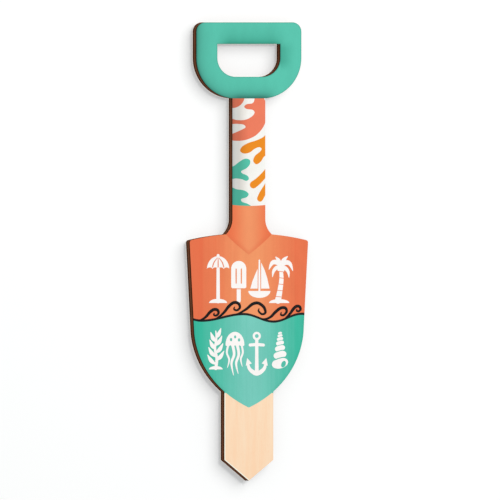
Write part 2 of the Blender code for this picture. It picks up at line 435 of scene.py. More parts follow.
# %% The charred cut
laser_char, given = new_group("laser_char", {"Line Spacing": 0.0004}, ["Tone", "Height"])
spacing = given["Line Spacing"]
lines = stretched_noise(laser_char, (spacing, 0.0160, spacing), 2.0, 0.7)
scorch = stretched_noise(laser_char, (0.0080, 0.0080, 0.0080), 2.0)
fibre_fuzz = stretched_noise(laser_char, (0.0003, 0.0002, 0.0003), 2.0)
fine = maths(laser_char, "MULTIPLY", lines, 0.55)
broad = maths(laser_char, "MULTIPLY", scorch, 0.30)
rough_tone = maths(laser_char, "ADD", fine, broad)
hand_out(
    laser_char,
    Tone=maths(laser_char, "ADD", rough_tone, maths(laser_char, "MULTIPLY", fibre_fuzz, 0.15)),
    Height=maths(laser_char, "ADD", lines, maths(laser_char, "MULTIPLY", fibre_fuzz, 0.3)),
)

CHAR_DARK = tint(134, 84, 57)
CHAR_LIGHT = tint(156, 99, 70)
SOOT = tint(116, 106, 92)
SOOT_START = core_back * 0.25
SOOT_FULL = core_back * 0.85


def charred_material():
    """Dark brown fibreboard, darkest next to both faces, where the glue and the veneers char."""
    material, tree, shader = new_material("charred_fibreboard", 0.9, 0.0)
    char = use(tree, laser_char)
    tone = ramp(tree, char["Tone"], 0.36, 0.64)
    from_middle = maths(tree, "ABSOLUTE", place_on_board(tree)["Y"])
    near_face = ramp(tree, from_middle, SOOT_START, SOOT_FULL)
    brown = blend(tree, tone, CHAR_DARK, CHAR_LIGHT)
    sooty = blend(tree, near_face, brown, SOOT, "MULTIPLY")
    tree.links.new(sooty, shader.inputs["Base Color"])
    bump(tree, shader, char["Height"], 0.12 * MM)
    return material


charred = charred_material()

# %% [markdown]
# ## Bare maple
#
# The stake and the whole back of the board are bare veneer, a warm cream that is a little darker
# where the grain is. The edge of the back is toasted brown in the last half millimetre before the
# cut. On the front the print's masking kept it clean. A painted highlight, a paler cream, lies along
# the front's left edges, where light catches them. The rim attribute says how near the cut is, and
# the material mixes the toast and the painted highlight with it.

# %% Bare maple
MAPLE_DARK = tint(255, 214, 175)
MAPLE_LIGHT = tint(255, 229, 198)
HIGHLIGHT_CREAM = tint(255, 252, 234)
TOASTED = tint(196, 140, 92)
TOAST_BACK = 0.70
TOAST_FRONT = 0.04


def maple_material():
    """Grain in two creams, then a painted highlight along the left rim, then the toast next to the cut."""
    material, tree, shader = new_material("maple_veneer", 0.65, 0.15)
    grain = use(tree, wood_grain)
    wood = blend(tree, ramp(tree, grain["Tone"], 0.22, 0.76), MAPLE_DARK, MAPLE_LIGHT)
    place = place_on_board(tree)
    rim = put(tree, "ShaderNodeAttribute", attribute_name="rim").outputs["Fac"]
    front = maths(tree, "LESS_THAN", place["Y"], 0.0)
    # Painted highlight: a paler cream along the front's left edges, where light catches them.
    left = maths(tree, "MULTIPLY", ramp(tree, place["X"], 1 * MM, -1 * MM), front)
    painted_highlight = maths(tree, "MULTIPLY", ramp(tree, rim, 0.05, 0.55), left)
    wood = blend(tree, painted_highlight, wood, HIGHLIGHT_CREAM)
    less = maths(tree, "MULTIPLY", front, TOAST_BACK - TOAST_FRONT)
    scorched = maths(tree, "SUBTRACT", TOAST_BACK, less)
    toast = maths(tree, "MULTIPLY", ramp(tree, rim, 0.45, 1.0), scorched)
    tree.links.new(blend(tree, toast, wood, TOASTED), shader.inputs["Base Color"])
    bump(tree, shader, grain["Height"], 0.05 * MM, 0.6)
    return material


maple = maple_material()
print("wood finishes:", charred.name, maple.name)

# %% [markdown]
# ## Tools for sweeping
#
# Two pieces are swept along paths by Geometry Nodes: the core, and the brush strokes on the water.
# Both trees start from bare edges, called Outline, and end with one plain body in its finish.
# Sweeping works best on a curve that lies level, so a tree lays its outline down first and stands
# the result up again at the end.

# %% Tools for sweeping
def new_sweep(name, inputs):
    """An empty geometry tree with named inputs, {name: (kind, default)}."""
    tree = bpy.data.node_groups.new(name, "GeometryNodeTree")
    tree.interface.new_socket("Outline", in_out="INPUT", socket_type="NodeSocketGeometry")
    for label, (kind, default) in inputs.items():
        socket = tree.interface.new_socket(label, in_out="INPUT", socket_type="NodeSocket" + kind)
        if default is not None:
            socket.default_value = default
    tree.interface.new_socket("Body", in_out="OUTPUT", socket_type="NodeSocketGeometry")
    return tree, tree.nodes.new("NodeGroupInput").outputs


def turned(tree, geometry, degrees):
    """Geometry turned about X, to lay it down or stand it up."""
    rotation = (math.radians(degrees), 0, 0)
    return put(tree, "GeometryNodeTransform", {"Geometry": geometry, "Rotation": rotation}).outputs[0]


def finished(tree, body, material):
    """The end of a tree: a real mesh in its finish."""
    solid = put(tree, "GeometryNodeRealizeInstances", {"Geometry": body}).outputs[0]
    painted = put(tree, "GeometryNodeSetMaterial", {"Geometry": solid, "Material": material}).outputs[0]
    tree.links.new(painted, tree.nodes.new("NodeGroupOutput").inputs[0])


# %% [markdown]
# ## The core, swept along the outline
#
# The core follows a rule: its side is one straight line swept round the board's outline, and its
# two faces are the outline filled in. The line is a short curve with a few rows of points, and a
# fine ripple pushes the rows inwards where the laser pulsed. The ripple dies out at both faces, so
# that the core meets the veneers exactly.

# %% The core's node tree
def core_tree():
    """Sweeps a straight line round the outline and fills both faces."""
    sizes = {
        "Thickness": ("Float", 0.0080),
        "Rows": ("Int", 9),
        "Ripple": ("Float", 0.0001),
        "Ripple Length": ("Float", 0.0006),
        "Seed": ("Int", 7),
        "Finish": ("Material", None),
    }
    tree, given = new_sweep("swept_core", sizes)
    half = maths(tree, "DIVIDE", given["Thickness"], 2)
    low = put(tree, "ShaderNodeCombineXYZ", {"Y": maths(tree, "MULTIPLY", half, -1)}).outputs[0]
    high = put(tree, "ShaderNodeCombineXYZ", {"Y": half}).outputs[0]
    line = put(tree, "GeometryNodeCurvePrimitiveLine", {"Start": low, "End": high}).outputs[0]
    rows = put(tree, "GeometryNodeResampleCurve", {"Curve": line, "Count": given["Rows"]}).outputs[0]
    level = put(tree, "GeometryNodeMeshToCurve", {0: turned(tree, given["Outline"], -90)}).outputs[0]
    wall = put(tree, "GeometryNodeCurveToMesh", {"Curve": level, "Profile Curve": rows}).outputs[0]
    cap = put(tree, "GeometryNodeFillCurve", {"Curve": level}).outputs[0]
    body = put(tree, "GeometryNodeJoinGeometry")
    for share in (1, -1):
        rise = put(tree, "ShaderNodeCombineXYZ", {"Z": maths(tree, "MULTIPLY", half, share)}).outputs[0]
        moved = put(tree, "GeometryNodeTransform", {"Geometry": cap, "Translation": rise}).outputs[0]
        tree.links.new(moved, body.inputs[0])
    tree.links.new(wall, body.inputs[0])
    welded = put(tree, "GeometryNodeMergeByDistance", {"Geometry": body.outputs[0], "Distance": 1e-5})
    upright = turned(tree, welded.outputs[0], 90)
    finished(tree, rippled(tree, upright, half, given), given["Finish"])
    return tree


def rippled(tree, body, half, given):
    """Pushes the rows inwards by noise that is the same all through the board."""
    place = put(tree, "GeometryNodeInputPosition").outputs[0]
    parts = put(tree, "ShaderNodeSeparateXYZ", {0: place}).outputs
    across = put(tree, "ShaderNodeCombineXYZ", {"X": parts["X"], "Z": parts["Z"]}).outputs[0]
    scale = maths(tree, "DIVIDE", 1, given["Ripple Length"])
    settings = {"Vector": across, "W": given["Seed"], "Scale": scale, "Detail": 2.0}
    noise = put(tree, "ShaderNodeTexNoise", settings, noise_dimensions="4D").outputs[0]
    share = maths(tree, "DIVIDE", parts["Y"], half)
    fade = maths(tree, "SUBTRACT", 1, maths(tree, "MULTIPLY", share, share), clamp=True)
    push = maths(tree, "MULTIPLY", maths(tree, "MULTIPLY", noise, fade), given["Ripple"])
    inward = put(tree, "GeometryNodeInputNamedAttribute", {"Name": "inward"}, data_type="FLOAT_VECTOR")
    offset = put(tree, "ShaderNodeVectorMath", {0: inward.outputs[0], "Scale": push}, operation="SCALE")
    return put(tree, "GeometryNodeSetPosition", {"Geometry": body, "Offset": offset.outputs[0]}).outputs[0]


swept_core = core_tree()
print("core tree:", len(swept_core.nodes), "nodes")

# %% [markdown]
# ## Growing the core
#
# The tree needs the outline as bare edges, and the way inwards at each point. Both come from the
# loops that were read from the frame. The modifier's inputs are set first, then the evaluated
# object is copied to a plain mesh, and the modifier goes. The tree doesn't know which side of each
# face is the outer one, so the normals are worked out again on the closed body.

# %% Growing the core
CUT_STEP = 0.35 * MM
CUT_ROWS = 9
RIPPLE = 0.12 * MM
RIPPLE_LENGTH = 0.6 * MM
RIPPLE_SEED = 7


def edge_mesh(name, runs, closed=True):
    """Bare edges along runs of points (x, z)."""
    verts, edges = [], []
    for run in runs:
        first, count = len(verts), len(run)
        verts += [(point[0], 0, point[1]) for point in run]
        last = count if closed else count - 1
        edges += [(first + i, first + (i + 1) % count) for i in range(last)]
    mesh = bpy.data.meshes.new(name)
    mesh.from_pydata(verts, edges, [])
    return mesh


def grown(name, mesh, tree, settings):
    """The plain mesh that a node tree makes from a mesh of edges."""
    obj = bpy.data.objects.new(name, mesh)
    bpy.context.scene.collection.objects.link(obj)
    modifier = obj.modifiers.new(tree.name, "NODES")
    modifier.node_group = tree
    for item in tree.interface.items_tree:
        if item.in_out == "INPUT" and item.name in settings:
            modifier[item.identifier] = settings[item.name]
    result = bpy.data.meshes.new_from_object(obj.evaluated_get(bpy.context.evaluated_depsgraph_get()))
    obj.modifiers.clear()
    shape = bmesh.new()
    shape.from_mesh(result)
    bmesh.ops.recalc_face_normals(shape, faces=shape.faces)
    shape.to_mesh(result)
    shape.free()
    obj.data = result
    print(name, len(result.polygons), "faces")
    return obj


cut_loops = [stepped(loop, CUT_STEP) for loop in (board_edge, opening_edge)]
core_edges = edge_mesh("core_edges", cut_loops)
inward = core_edges.attributes.new("inward", "FLOAT_VECTOR", "POINT")
ways = []
for loop in cut_loops:
    for before, after in zip(loop[-1:] + loop[:-1], loop[1:] + loop[:1]):
        along = (after - before).normalized()
        ways.append((-along.y, 0, along.x))
for item, way in zip(inward.data, ways):
    item.vector = way

core = grown("charred_core", core_edges, swept_core, {
    "Thickness": core_back - core_front,
    "Rows": CUT_ROWS,
    "Ripple": RIPPLE,
    "Ripple Length": RIPPLE_LENGTH,
    "Seed": RIPPLE_SEED,
    "Finish": charred,
})
print("core is", round((core_back - core_front) / MM, 2), "mm thick")

# %% [markdown]
# ## The two veneers
#
# Each veneer is a flat shape with the board's outline and opening, 0.6 mm thick. Its face is maple
# and its cut side is charred like the core, because the laser went through all three at once.

# %% The two veneers
TOAST_WIDTH = 0.9 * MM

veneer_loops, toast_row = inner_row([board_edge, opening_edge], TOAST_WIDTH)
veneer_shape = flat_shape(
    [("board", veneer_loops[0]), ("opening", veneer_loops[1])],
    lambda inside: "board" in inside and "opening" not in inside,
    toast_row,
)
front_veneer = film("maple_face", veneer_shape, veneer_front, core_front, maple, charred)
back_veneer = film("maple_back", veneer_shape, core_back, veneer_back, maple, charred)
for veneer in (front_veneer, back_veneer):
    mark_rim(veneer, toast_row)

# %% [markdown]
# ## The skin of the ink
#
# Cured ink is satin, not glossy. Up close it has the faint dimples of drops that ran together, the
# wood's fibres show through it as a shallow relief, and the colour has a slight mottle. All inks
# share this, so it is a group, and ink_material() adds it to whatever colour recipe it is given.

# %% The skin of the ink
ink_skin, given = new_group("ink_skin", {"Drop Size": 0.0005, "Fibres": 0.5}, ["Mottle", "Height"])
drop = given["Drop Size"]
dimples = stretched_noise(ink_skin, (drop, drop, drop), 2.0)
shown_fibres = stretched_noise(ink_skin, (0.0004, 0.0004, 0.0110), 3.0)
clouds = stretched_noise(ink_skin, (0.0060, 0.0060, 0.0120), 2.0)
relief = maths(ink_skin, "MULTIPLY", shown_fibres, given["Fibres"])
half_dimples, half_clouds = (maths(ink_skin, "MULTIPLY", spots, 0.5) for spots in (dimples, clouds))
hand_out(
    ink_skin,
    Mottle=maths(ink_skin, "ADD", half_dimples, half_clouds),
    Height=maths(ink_skin, "ADD", relief, half_dimples),
)
print("ink skin:", len(ink_skin.nodes), "nodes")

MOTTLE_DARK = tint(249, 249, 249)
MOTTLE_LIGHT = (1.0, 1.0, 1.0)


def ink_material(name, paint, roughness=0.5, specular=0.06):
    """A satin ink. paint(tree) writes its colour recipe and returns the colour's socket."""
    material, tree, shader = new_material(name, roughness, specular)
    skin = use(tree, ink_skin)
    mottle = blend(tree, ramp(tree, skin["Mottle"], 0.35, 0.65), MOTTLE_DARK, MOTTLE_LIGHT)
    tree.links.new(blend(tree, 1.0, paint(tree), mottle, "MULTIPLY"), shader.inputs["Base Color"])
    bump(tree, shader, skin["Height"], 0.02 * MM, 0.5)
    return material


# %% [markdown]
# ## Printed roundness
#
# The board is flat, but its print makes it look moulded: each part is lighter down the middle and
# darker at the sides. That shading is ink, so it belongs in the colour. A bell curve across X does
# it, and a group gives the sky, the sea and the neck each their own middle and spread.

# %% Printed roundness
bell, given = new_group("bell", {"Middle": 0.0, "Spread": 0.0150, "Floor": 0.0}, ["Light"])
offset = maths(bell, "SUBTRACT", place_on_board(bell)["X"], given["Middle"])
steps = maths(bell, "DIVIDE", offset, given["Spread"])
half_square = maths(bell, "MULTIPLY", maths(bell, "MULTIPLY", steps, steps), -0.5)
falling = maths(bell, "POWER", math.e, half_square)
hand_out(bell, Light=maths(bell, "MAXIMUM", falling, given["Floor"]))
print("bell:", len(bell.nodes), "nodes")

# %% [markdown]
# ## Streaks of a brush
#
# Sky and sea have faint upright streaks, like the strokes of a wide brush. Two noises that are
# drawn out along Z, one broad and one fine, are added to the light before it is turned into a
# colour, so that a streak stays between the darkest and the lightest ink.

# %% Streaks of a brush
STREAK_STRENGTH = 0.28


def streaked(tree, light):
    """Upright streaks, broad and fine, added to a value."""
    broad = stretched_noise(tree, (0.0030, 0.0030, 0.2000), 1.0)
    fine = stretched_noise(tree, (0.0009, 0.0009, 0.1200), 2.0)
    both = maths(tree, "ADD", maths(tree, "SUBTRACT", broad, 0.5), maths(tree, "SUBTRACT", fine, 0.5))
    return maths(tree, "ADD", light, maths(tree, "MULTIPLY", both, STREAK_STRENGTH), clamp=True)


# %% [markdown]
# ## Sky, sea and socket
#
# Each of these fields runs from a dark ink at its sides to a light one down its middle. The sea is
# a little deeper along the board's edge. The socket on the neck has a line of shade just above its
# V, as if it stood off the sky below it.

# %% Sky, sea and socket
CORAL_DARK = tint(233, 113, 74)
CORAL_LIGHT = tint(245, 154, 103)
TEAL_DARK = tint(52, 187, 158)
TEAL_LIGHT = tint(121, 206, 191)
TEAL_DEEP = tint(38, 140, 117)
SOCKET_DARK = tint(237, 112, 70)
SOCKET_LIGHT = tint(244, 151, 102)
SOCKET_BORDER = tint(230, 116, 76)
SEA_EDGE_STRENGTH = 0.16
V_SLOPE = 0.86
V_SHADE_REACH = 4.2 * MM
V_SHADE_STRENGTH = 0.42
socket_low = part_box("socket_print")[0]


def paint_sky(tree):
    """Coral, lighter down the middle, with streaks."""
    light = use(tree, bell, {"Middle": 1.8 * MM, "Spread": 15.5 * MM, "Floor": 0.04})["Light"]
    return blend(tree, streaked(tree, light), CORAL_DARK, CORAL_LIGHT)


def paint_sea(tree):
    """Teal, lighter down the middle, with streaks and a deeper edge."""
    light = use(tree, bell, {"Middle": 1.8 * MM, "Spread": 16 * MM, "Floor": 0.04})["Light"]
    water = blend(tree, streaked(tree, light), TEAL_DARK, TEAL_LIGHT)
    rim = put(tree, "ShaderNodeAttribute", attribute_name="rim").outputs["Fac"]
    at_edge = maths(tree, "MULTIPLY", ramp(tree, rim, 0.0, 1.0), SEA_EDGE_STRENGTH)
    return blend(tree, at_edge, water, TEAL_DEEP)


def paint_socket(tree):
    """Lighter down the middle, with a darker line of shade just above its V."""
    light = use(tree, bell, {"Middle": 0.4 * MM, "Spread": 6.6 * MM})["Light"]
    socket = blend(tree, light, SOCKET_DARK, SOCKET_LIGHT)
    place = place_on_board(tree)
    v_rise = maths(tree, "MULTIPLY", maths(tree, "ABSOLUTE", place["X"]), V_SLOPE)
    above = maths(tree, "SUBTRACT", place["Z"], maths(tree, "ADD", v_rise, socket_low.z))
    shade = maths(tree, "MULTIPLY", ramp(tree, above, V_SHADE_REACH, 0.0), V_SHADE_STRENGTH)
    return blend(tree, shade, socket, SOCKET_BORDER)


# %% [markdown]
# ## The handle's printed shade
#
# The handle is printed as if it were a rounded bar. Deep teal lies above the opening, fades to the
# right of it, hugs the outer left side and gathers where the shaft meets the handle. Most of these
# patches fall off from a straight edge, but the outer left side turns through a wide round corner.
# One group measures how deep a point lies inside such a side: straight along it, and round inside
# the corner's radius.

# %% The depth inside a rounded side
corner_depth, given = new_group(
    "corner_depth",
    {"Corner X": 0.0, "Corner Z": 0.0, "Side": 1.0, "Radius": 0.01},
    ["Depth"],
)
place = place_on_board(corner_depth)
past_corner = maths(corner_depth, "SUBTRACT", place["X"], given["Corner X"])
out_x = maths(corner_depth, "MULTIPLY", past_corner, given["Side"])
out_z = maths(corner_depth, "SUBTRACT", given["Corner Z"], place["Z"])
beyond_x = maths(corner_depth, "MAXIMUM", out_x, 0.0)
beyond_z = maths(corner_depth, "MAXIMUM", out_z, 0.0)
squares = [maths(corner_depth, "MULTIPLY", far, far) for far in (beyond_x, beyond_z)]
reach = maths(corner_depth, "SQRT", maths(corner_depth, "ADD", *squares))
hand_out(corner_depth, Depth=maths(corner_depth, "SUBTRACT", given["Radius"], reach))

OPENING_CORNER = 12.5 * MM
handle_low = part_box("handle_print")[0]
opening_low = Vector((min(p.x for p in opening_edge), min(p.y for p in opening_edge)))
opening_high = Vector((max(p.x for p in opening_edge), max(p.y for p in opening_edge)))
handle_bar = opening_low.y - handle_low.z
corner_x = opening_high.x - OPENING_CORNER
corner_z = opening_low.y + OPENING_CORNER
print("handle bar", round(handle_bar / MM, 1), "mm")

# %% [markdown]
# ## Patches of shade
#
# Each patch starts at an edge with some strength and fades over a length. A tight fade and a wide
# one added together look softer than either. The patches are masked where the shade stops: between
# two places along the edge, and at the edge itself.

# %% Patches of shade
def fade(tree, distance, length, strength):
    """A shade that starts at strength and falls off over a length."""
    share = maths(tree, "DIVIDE", maths(tree, "MAXIMUM", distance, 0.0), -length)
    return maths(tree, "MULTIPLY", maths(tree, "POWER", math.e, share), strength)


def between(tree, value, low, high, soft):
    """1 between two places and 0 outside them, with soft ends."""
    enter = ramp(tree, value, low - soft / 2, low + soft / 2)
    leave = ramp(tree, value, high + soft / 2, high - soft / 2)
    return maths(tree, "MULTIPLY", enter, leave)


def past_edge(tree, distance):
    """0 before an edge and 1 past it, over a hair's breadth."""
    return ramp(tree, distance, -0.3 * MM, 0.3 * MM)


def shade_over_opening(tree, x, z):
    """Deep over the opening's straight upper edge, between its two sides."""
    over = maths(tree, "SUBTRACT", z, opening_high.y)
    deep = maths(tree, "ADD", fade(tree, over, 1.1 * MM, 0.32), fade(tree, over, 6.2 * MM, 0.66))
    deep = maths(tree, "MULTIPLY", deep, past_edge(tree, over))
    along = between(tree, x, opening_low.x + 3.5 * MM, opening_high.x, 11 * MM)
    return maths(tree, "MULTIPLY", deep, along)


def shade_beside_opening(tree, x, z):
    """Softer, to the right of the opening's straight side."""
    beside = maths(tree, "SUBTRACT", x, opening_high.x)
    deep = maths(tree, "MULTIPLY", ramp(tree, beside, 11 * MM, -1 * MM), 0.52)
    deep = maths(tree, "MULTIPLY", deep, past_edge(tree, beside))
    along = between(tree, z, opening_low.y + 7 * MM, opening_high.y, 8 * MM)
    return maths(tree, "MULTIPLY", deep, along)


def shade_at_left(tree, x):
    """Along the outer left side and round its lower corner, gone before the middle."""
    radius = OPENING_CORNER + handle_bar
    outer = {"Corner X": -corner_x, "Corner Z": corner_z, "Side": -1.0, "Radius": radius}
    depth = use(tree, corner_depth, outer)["Depth"]
    deep = maths(tree, "ADD", fade(tree, depth, 1 * MM, 0.25), fade(tree, depth, 4.2 * MM, 0.62))
    return maths(tree, "MULTIPLY", deep, ramp(tree, x, -2 * MM, -20 * MM))


def shade_at_foot(tree, x, z):
    """Along the lower edge, where the shaft comes out from under the handle."""
    above = maths(tree, "SUBTRACT", z, handle_low.z)
    deep = maths(tree, "MINIMUM", fade(tree, above, 3 * MM, 1.25), 0.92)
    return maths(tree, "MULTIPLY", deep, between(tree, x, -12 * MM, 16 * MM, 13 * MM))


# %% [markdown]
# ## The handle's ink
#
# The shades round the opening turn the teal deep, and the stronger of the two wins where they
# meet. The outer ones turn it dim, one after another, and so does a thin line along the rim.

# %% The handle's ink
HANDLE_TEAL = tint(89, 196, 173)
TEAL_DIM = tint(48, 118, 104)
RIM_LINE_STRENGTH = 0.34


def paint_handle(tree):
    """Flat teal under its patches of shade, with a thin dim line along the rim."""
    x, _, z = place_on_board(tree)
    rim = put(tree, "ShaderNodeAttribute", attribute_name="rim").outputs["Fac"]
    inner = maths(tree, "MAXIMUM", shade_over_opening(tree, x, z), shade_beside_opening(tree, x, z))
    line = maths(tree, "MULTIPLY", ramp(tree, rim, 0.0, 0.5), RIM_LINE_STRENGTH)
    teal = blend(tree, inner, HANDLE_TEAL, TEAL_DEEP)
    for shade in (shade_at_left(tree, x), shade_at_foot(tree, x, z), line):
        teal = blend(tree, shade, teal, TEAL_DIM)
    return teal


handle_ink = ink_material("handle_teal_ink", paint_handle)
print("handle ink:", len(handle_ink.node_tree.nodes), "nodes")

# %% [markdown]
# ## The shaft's printed shade
#
# The shaft is printed as a white pole, so everything on it, ground and leaves alike, is darker to
# the left. The shade is a colour that each ink is multiplied by. It has its own stops because it
# isn't even: there is a dim band near the left edge, then it rises quickly to white.

# %% The shaft's printed shade
SHAFT_STOPS = {
    0.00: (196, 196, 195),
    0.10: (214, 215, 213),
    0.20: (219, 217, 213),
    0.34: (238, 235, 231),
    0.48: (252, 251, 248),
    1.00: (255, 255, 253),
}
shaft_low, shaft_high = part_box("shaft_print")


def paint_shaft(colour):
    """A recipe for an ink on the shaft: its own colour under the pole's shade."""

    def paint(tree):
        span = {"Value": place_on_board(tree)["X"], "From Min": shaft_low.x, "From Max": shaft_high.x}
        share = put(tree, "ShaderNodeMapRange", span).outputs[0]
        shade = put(tree, "ShaderNodeValToRGB", {0: share})
        stops = shade.color_ramp.elements
        for position in list(SHAFT_STOPS)[1:-1]:
            stops.new(position)
        for element, stop in zip(stops, SHAFT_STOPS.values()):
            element.color = (*tint(*stop), 1)
        return blend(tree, 1.0, tint(*colour), shade.outputs[0], "MULTIPLY")

    return paint


# %% [markdown]
# ## Mixing the inks
#
# Now every ink can be mixed. White and black are plain: their recipe is one colour, and the skin
# that all inks share gives them their mottle and dimples.

# %% Mixing the inks
def paint_plain(colour):
    """A recipe for an ink of one colour."""
    return lambda tree: tint(*colour)


sky_ink = ink_material("sky_coral_ink", paint_sky)
sea_ink = ink_material("sea_teal_ink", paint_sea)
socket_ink = ink_material("socket_orange_ink", paint_socket)
shaft_ink = ink_material("shaft_white_ink", paint_shaft((249, 249, 246)))
coral_leaf_ink = ink_material("coral_leaf_ink", paint_shaft((239, 127, 97)))
orange_leaf_ink = ink_material("orange_leaf_ink", paint_shaft((240, 144, 33)))
teal_leaf_ink = ink_material("teal_leaf_ink", paint_shaft((88, 200, 176)))
white_ink = ink_material("motif_white_ink", paint_plain((255, 251, 248)))
black_ink = ink_material("line_black_ink", paint_plain((26, 25, 27)), roughness=0.55, specular=0.1)
print("inks:", [material.name for material in bpy.data.materials if material.name.endswith("_ink")])

# %% [markdown]
# ## The grounds
#
# The printer lays large fields first. Sky, sea and shaft lie on the wood, and run a little way
# under the fields and the line that are printed over their borders, so that no bare wood shows
# between two colours. The handle, the neck's socket and the black line then cover those borders.
# Sky and sea meet along the middle of the water line, so that middle is worked out first.

# %% The middle of the water line
SIDE_REACH = 60 * MM

waterline = outlines("waterline_print")[0]
left_end = sorted(waterline, key=lambda point: point.x)[:2]
line_width = abs(left_end[0].y - left_end[1].y)


def middle_of_line():
    """The water line's middle, from left to right, out past both sides of the board."""
    sides = zip(waterline, waterline[1:] + waterline[:1])
    lower = [start for start, end in sides if end.x - start.x > WELD]
    lower.sort(key=lambda point: point.x)
    middle = [Vector((point.x, point.y + line_width / 2)) for point in lower]
    return [Vector((-SIDE_REACH, middle[0].y))] + middle + [Vector((SIDE_REACH, middle[-1].y))]


wave = middle_of_line()
print("water line", round(line_width / MM, 1), "mm wide,", len(wave), "points")

# %% [markdown]
# ## The borders of the grounds
#
# Each ground is the board cut by a closed border that runs well out past its sides. The sea's
# border follows the printed point at the blade's foot, the sky's ends on the neck, and the shaft's
# is a plain band from the socket up to the handle. Where another field covers the border, the
# ground runs on a little under it.

# %% The borders of the grounds
ON_THE_STAKE = -30 * MM
TIP_HEIGHT = 20 * MM
UNDER_SOCKET = 2 * MM
UNDER_SOCKET_TOP = 1.2 * MM
UNDER_HANDLE = 0.4 * MM

stake_half = min(point.x for point in board_edge if point.y < ON_THE_STAKE and point.x > 10 * MM)
tip = [p for p in outlines("sea_print")[0] if abs(p.x) < stake_half + WELD and p.y < TIP_HEIGHT]
tip.sort(key=lambda point: point.x)
left_of_tip = Vector((-SIDE_REACH, tip[0].y))
right_of_tip = Vector((SIDE_REACH, tip[-1].y))
sea_band = [left_of_tip] + tip + [right_of_tip] + wave[::-1]
sky_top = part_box("sky_print")[1].z + UNDER_SOCKET
sky_band = wave + [Vector((SIDE_REACH, sky_top)), Vector((-SIDE_REACH, sky_top))]


def band(low, high):
    """A level band across the board, between two heights."""
    corners = ((-SIDE_REACH, low), (SIDE_REACH, low), (SIDE_REACH, high), (-SIDE_REACH, high))
    return [Vector(corner) for corner in corners]


shaft_band = band(shaft_low.z - UNDER_SOCKET_TOP, handle_low.z + UNDER_HANDLE)
print("bare stake", round(2 * stake_half / MM, 1), "mm wide, sky up to", round(sky_top / MM, 1), "mm")

# %% [markdown]
# ## Laying the grounds
#
# A ground is cut from the board's own loops and its border. The sea also gets the rim attribute,
# for its deeper edge. Its rim belongs to the board's edge alone, so it is set to 0 along the border.

# %% Laying the grounds
SEA_SHADE_WIDTH = 2.4 * MM
BORDER_GRID = 4 * WELD

board_loops = [stepped(loop, RIM_STEP) for loop in (board_edge, opening_edge)]


def ground(name, border, material, shade_width=None):
    """A field of ink on the wood: the part of the board within a border."""
    row = inner_row([board_edge, opening_edge], shade_width)[1] if shade_width else ()
    named = [("board", board_loops[0]), ("opening", board_loops[1]), ("border", border)]
    wanted = flat_shape(
        named,
        lambda inside: "board" in inside and "border" in inside and "opening" not in inside,
        row,
    )
    field = film(name, wanted, ground_front, veneer_front, material)
    if shade_width:
        mark_rim(field, row)
        settle_border(field, border)
    return field


def settle_border(field, border):
    """The rim belongs to the board's edge, so it is 0 along a border inside the board."""
    inner = {square_of(p.x, p.y, BORDER_GRID) for p in border}
    for vert, item in zip(field.data.vertices, field.data.attributes["rim"].data):
        if square_of(vert.co.x, vert.co.z, BORDER_GRID) in inner:
            item.value = 0


sky = ground("sky_ground", sky_band, sky_ink)
sea = ground("sea_ground", sea_band, sea_ink, SEA_SHADE_WIDTH)
shaft = ground("shaft_ground", shaft_band, shaft_ink)

# %% [markdown]
# ## The fields that lie over them
#
# The handle's ring, the socket with its V and the water line keep exactly the frame's outlines.
# The handle gets the rim attribute, for the thin line along its edge.

# %% The fields over the grounds
HANDLE_LINE_WIDTH = 0.7 * MM

handle_loops, handle_row = inner_row(outlines("handle_print"), HANDLE_LINE_WIDTH)
handle_shape = flat_shape(
    [("handle", handle_loops[0]), ("opening", handle_loops[1])],
    lambda inside: "handle" in inside and "opening" not in inside,
    handle_row,
)
handle = film("handle_field", handle_shape, field_front, veneer_front, handle_ink)
mark_rim(handle, handle_row)

socket_shape = flat_shape([("socket", outlines("socket_print")[0])], lambda inside: bool(inside))
socket = film("socket_field", socket_shape, field_front, veneer_front, socket_ink)
line_shape = flat_shape([("line", waterline)], lambda inside: bool(inside))
water = film("water_line", line_shape, field_front, veneer_front, black_ink)

# %% [markdown]
# ## A smooth curve through few points
#
# The leaves and the small pictures on the blade are drawn from listed points. Each shape has only the
# points that it needs, and a smooth curve runs through them. The curve is a Catmull-Rom spline: it
# passes through every point, and its direction there is that of a line between the two neighbours.

# %% A smooth curve
CURVE_STEPS = 8


def flowing(points, closed=False):
    """A smooth curve through points, which may carry a width as a third value."""
    points = [Vector(point) for point in points]
    count = len(points)
    found = []
    for index in range(count if closed else count - 1):
        near = [index + step for step in (-1, 0, 1, 2)]
        if closed:
            before, start, end, after = (points[i % count] for i in near)
        else:
            before, start, end, after = (points[min(max(i, 0), count - 1)] for i in near)
        for step in range(CURVE_STEPS):
            t = step / CURVE_STEPS
            bend = (2 * before - 5 * start + 4 * end - after) * t * t
            twist = (3 * start - before - 3 * end + after) * t * t * t
            found.append((2 * start + (end - before) * t + bend + twist) / 2)
    return found if closed else found + [points[-1]]


# %% [markdown]
# ## Brush strokes
#
# A brush stroke is a line whose points also carry a width, so the same curve smooths the path and
# its width at once. The outline runs down one side and back up the other, and each end is closed
# with half a disc.

# %% Brush strokes
CAP_STEPS = 8


def half_turn(centre, start):
    """Points half way round a centre, anticlockwise, without the first and last."""
    arm = start - centre
    found = []
    for step in range(1, CAP_STEPS):
        angle = math.pi * step / CAP_STEPS
        turn = Vector((math.cos(angle), math.sin(angle)))
        found.append(centre + Vector((arm.x * turn.x - arm.y * turn.y, arm.x * turn.y + arm.y * turn.x)))
    return found


def stroke(points):
    """The outline of a brush stroke through (x, z, width) points, with round ends."""
    path = flowing(points)
    last = len(path) - 1
    left, right = [], []
    for index, point in enumerate(path):
        along = path[min(index + 1, last)].xy - path[max(index - 1, 0)].xy
        side = Vector((-along.y, along.x)).normalized() * point.z / 2
        left.append(point.xy + side)
        right.append(point.xy - side)
    end_cap = half_turn(path[-1].xy, right[-1])
    start_cap = half_turn(path[0].xy, left[0])
    return right + end_cap + left[::-1] + start_cap


